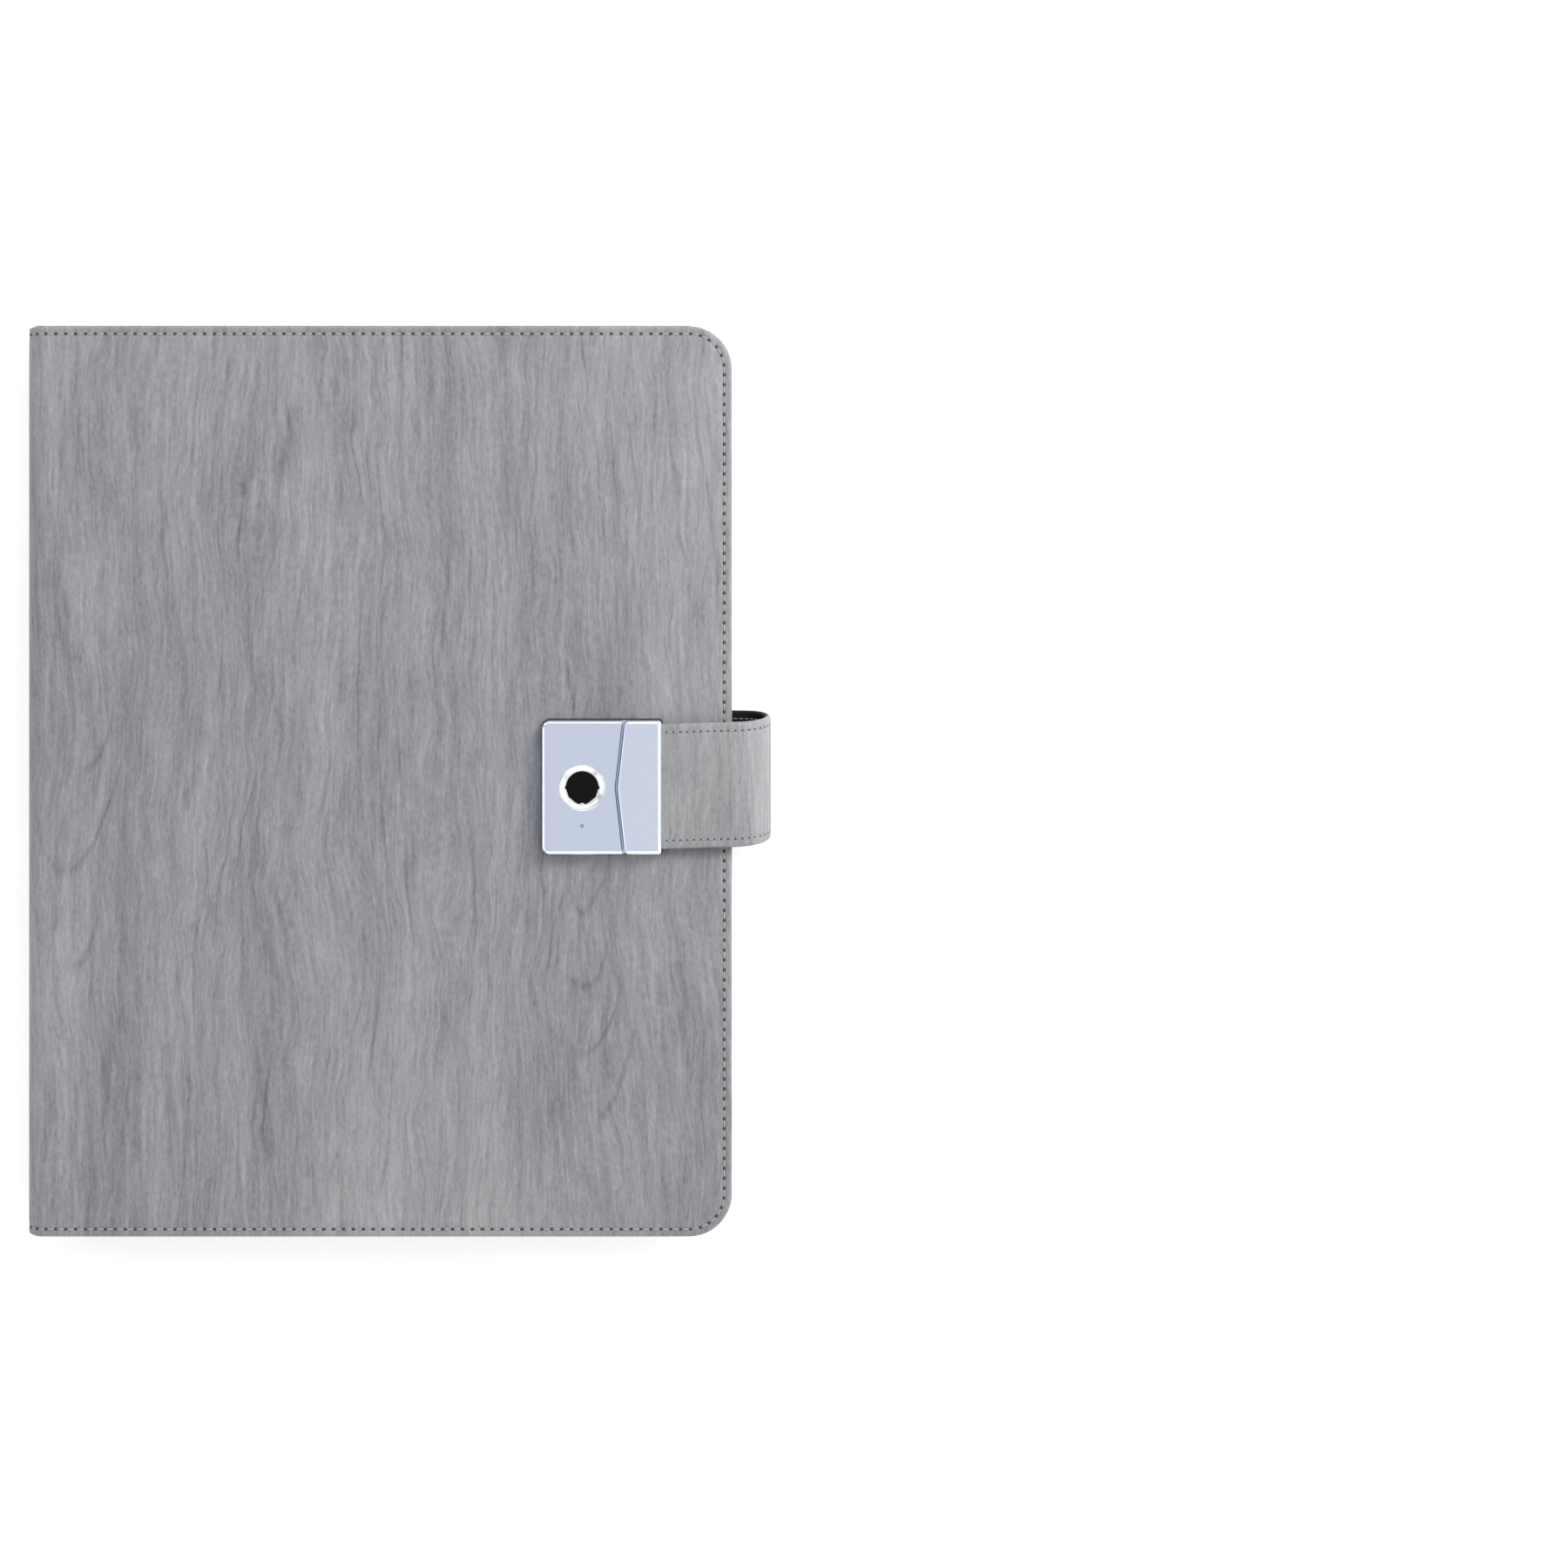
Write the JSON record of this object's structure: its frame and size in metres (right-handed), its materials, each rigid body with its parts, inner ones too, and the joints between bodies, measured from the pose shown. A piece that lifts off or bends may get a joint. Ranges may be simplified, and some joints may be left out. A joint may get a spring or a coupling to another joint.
{
  "type": "fingerprint lock folder",
  "caption": "A4 document folder in wood-grain imitation leather, closed by a sewn strap whose metal tongue latches beside a fingerprint sensor.",
  "frame": {"origin": "centre of the overall footprint, on the plane that the back cover lies on", "axes": "+X from the spine towards the fore-edge and strap, +Y towards the head of the folder, +Z out of the front cover"},
  "size_m": [0.2642, 0.3228, 0.0375],
  "materials": {
    "cover_leather": "grey imitation leather embossed with wood grain, satin",
    "strap_leather": "the same grey leather, folded and edge stitched",
    "greyboard": "matt",
    "lining_cloth": "dark charcoal woven lining",
    "pocket_leather": "dark fine-grained imitation leather",
    "elastic": "ribbed elastic webbing",
    "lock_metal": "silver with a blue cast, satin, bright bevels",
    "plate_steel": "plain sheet",
    "screw_steel": "nickel plated",
    "bright_ring": "polished",
    "sensor_glass": "black, smooth",
    "light_pipe": "smoked clear",
    "circuit_green": "solder mask",
    "battery_wrap": "silver pouch",
    "pinion_brass": "plain",
    "ring_metal": "nickel plated"
  },
  "bodies": {
    "back_cover": {"back_cover_leather": "cover_leather", "back_cover_board": "greyboard", "back_cover_lining": "lining_cloth", "back_crease": "cover_leather", "pen_loop": "elastic", "strap_root": "strap_leather", "ring_cover_plate": "ring_metal", "ring_rivets": "ring_metal"},
    "spine": {"spine_leather": "cover_leather", "spine_board": "greyboard", "spine_lining": "lining_cloth", "front_crease": "cover_leather"},
    "front_cover": {"front_cover_leather": "cover_leather", "front_cover_board": "greyboard", "front_cover_lining": "lining_cloth", "document_pocket": "pocket_leather", "card_pockets": "pocket_leather", "lock_base": "lock_metal", "lock_housing": "lock_metal", "sensor_bezel": "bright_ring", "fingerprint_sensor": "sensor_glass", "led_light_pipe": "light_pipe", "circuit_board": "circuit_green", "battery": "battery_wrap", "usb_socket": "screw_steel", "lock_backing_plate": "plate_steel", "lock_screws": "screw_steel", "latch_motor": "screw_steel", "latch_spring": "screw_steel"},
    "latch_bolt": {"latch_bolt": "plate_steel"},
    "motor_pinion": {"motor_pinion": "pinion_brass"},
    "strap_lower": {"strap_lower_bend": "strap_leather"},
    "strap_upper": {"strap_upper_bend": "strap_leather"},
    "strap_tongue": {"strap_front": "strap_leather", "tongue_cover": "lock_metal", "tongue_back_plate": "plate_steel", "striker": "plate_steel", "tongue_screws": "screw_steel"},
    "ring_right": {"ring_blade_right": "plate_steel", "ring_halves_right": "ring_metal"},
    "ring_left": {"ring_blade_left": "plate_steel", "ring_halves_left": "ring_metal"}
  },
  "joints": [
    {"name": "spine_hinge", "type": "hinge", "parent": "back_cover", "child": "spine", "pos_m": [-0.13049, 0, 0.00161], "axis": [0, -1, 0], "range_deg": [0, 90], "deforming": ["back_crease"]},
    {"name": "cover_hinge", "type": "hinge", "parent": "spine", "child": "front_cover", "pos_m": [-0.13049, 0, 0.02839], "axis": [0, -1, 0], "range_deg": [0, 90], "deforming": ["front_crease"]},
    {"name": "strap_root_bend", "type": "hinge", "parent": "back_cover", "child": "strap_lower", "pos_m": [0.118, -0.00175, 0.00448], "axis": [0, 1, 0], "range_deg": [0, 31]},
    {"name": "strap_middle_bend", "type": "hinge", "parent": "strap_lower", "child": "strap_upper", "pos_m": [0.1321, -0.00175, 0.0201], "axis": [0, 1, 0], "range_deg": [0, 68]},
    {"name": "strap_front_bend", "type": "hinge", "parent": "strap_upper", "child": "strap_tongue", "pos_m": [0.1164, -0.00175, 0.0358], "axis": [0, 1, 0], "range_deg": [0, 100]},
    {"name": "latch_slide", "type": "slide", "parent": "front_cover", "child": "latch_bolt", "axis": [-1, 0, 0], "range_m": [0, 0.0032], "stiffness_N_per_m": 60, "springref_m": -0.002, "deforming": ["latch_spring"]},
    {"name": "pinion_spin", "type": "hinge", "parent": "front_cover", "child": "motor_pinion", "pos_m": [0.0749, -0.00175, 0.029], "axis": [0, -1, 0], "range_deg": [0, 154]},
    {"name": "ring_right_tilt", "type": "hinge", "parent": "back_cover", "child": "ring_right", "pos_m": [-0.0913, 0, 0.0063], "axis": [0, 1, 0], "range_deg": [0, 12]},
    {"name": "ring_left_tilt", "type": "hinge", "parent": "back_cover", "child": "ring_left", "pos_m": [-0.1089, 0, 0.0063], "axis": [0, -1, 0], "range_deg": [0, 12]}
  ],
  "couplings": [
    {"joint": "strap_middle_bend", "follows": "strap_front_bend", "ratio": 0.66667},
    {"joint": "strap_root_bend", "follows": "strap_front_bend", "ratio": 0.3},
    {"joint": "pinion_spin", "follows": "latch_slide", "rad_per_m": 833.33},
    {"joint": "ring_left_tilt", "follows": "ring_right_tilt", "ratio": 1}
  ]
}
